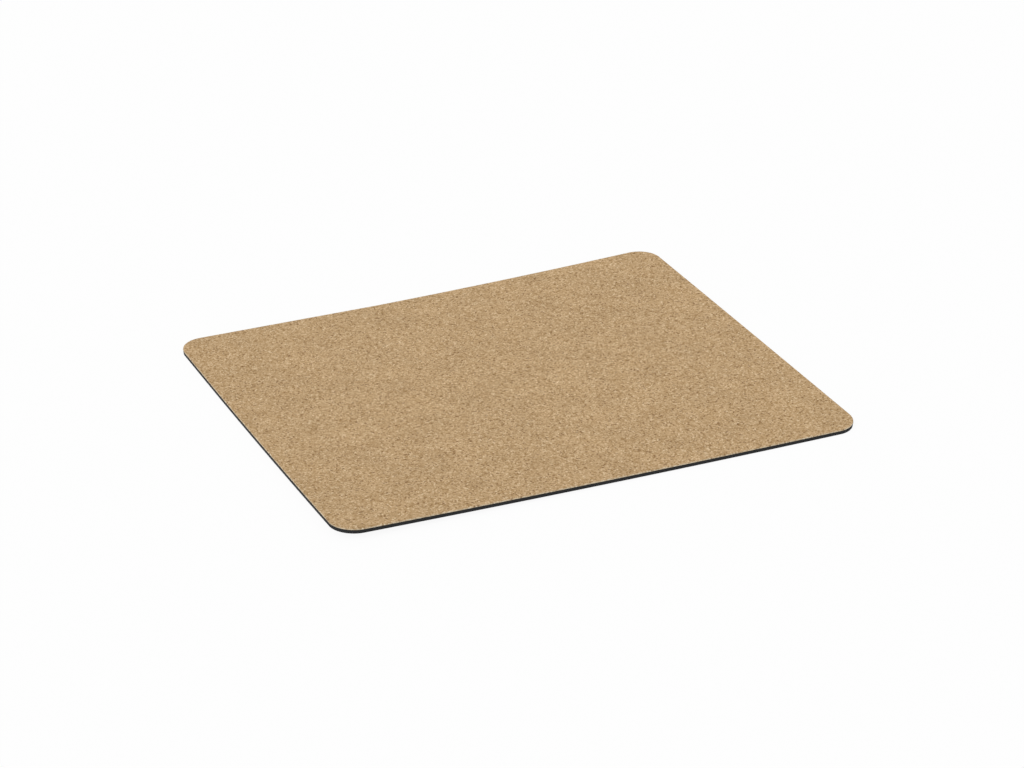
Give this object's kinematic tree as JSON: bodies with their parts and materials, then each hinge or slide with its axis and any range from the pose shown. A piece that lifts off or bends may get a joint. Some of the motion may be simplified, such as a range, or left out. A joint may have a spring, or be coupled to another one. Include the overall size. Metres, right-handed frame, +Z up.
{
  "type": "mouse pad",
  "caption": "Flat rectangular mouse pad with rounded corners: a fine-grained cork sheet bonded to a thin soft rubber base that grips the desk.",
  "frame": {"origin": "middle of the underside, on the desk", "axes": "+X along the long side, +Y along the short side away from the person at the desk, +Z up out of the cork"},
  "size_m": [0.22, 0.18, 0.0021],
  "materials": {
    "base_rubber": "matte",
    "bond_adhesive": "satin",
    "top_cork": "matte"
  },
  "bodies": {
    "root": {"rubber_base": "base_rubber", "adhesive_film": "bond_adhesive", "cork_sheet": "top_cork"}
  },
  "joints": []
}
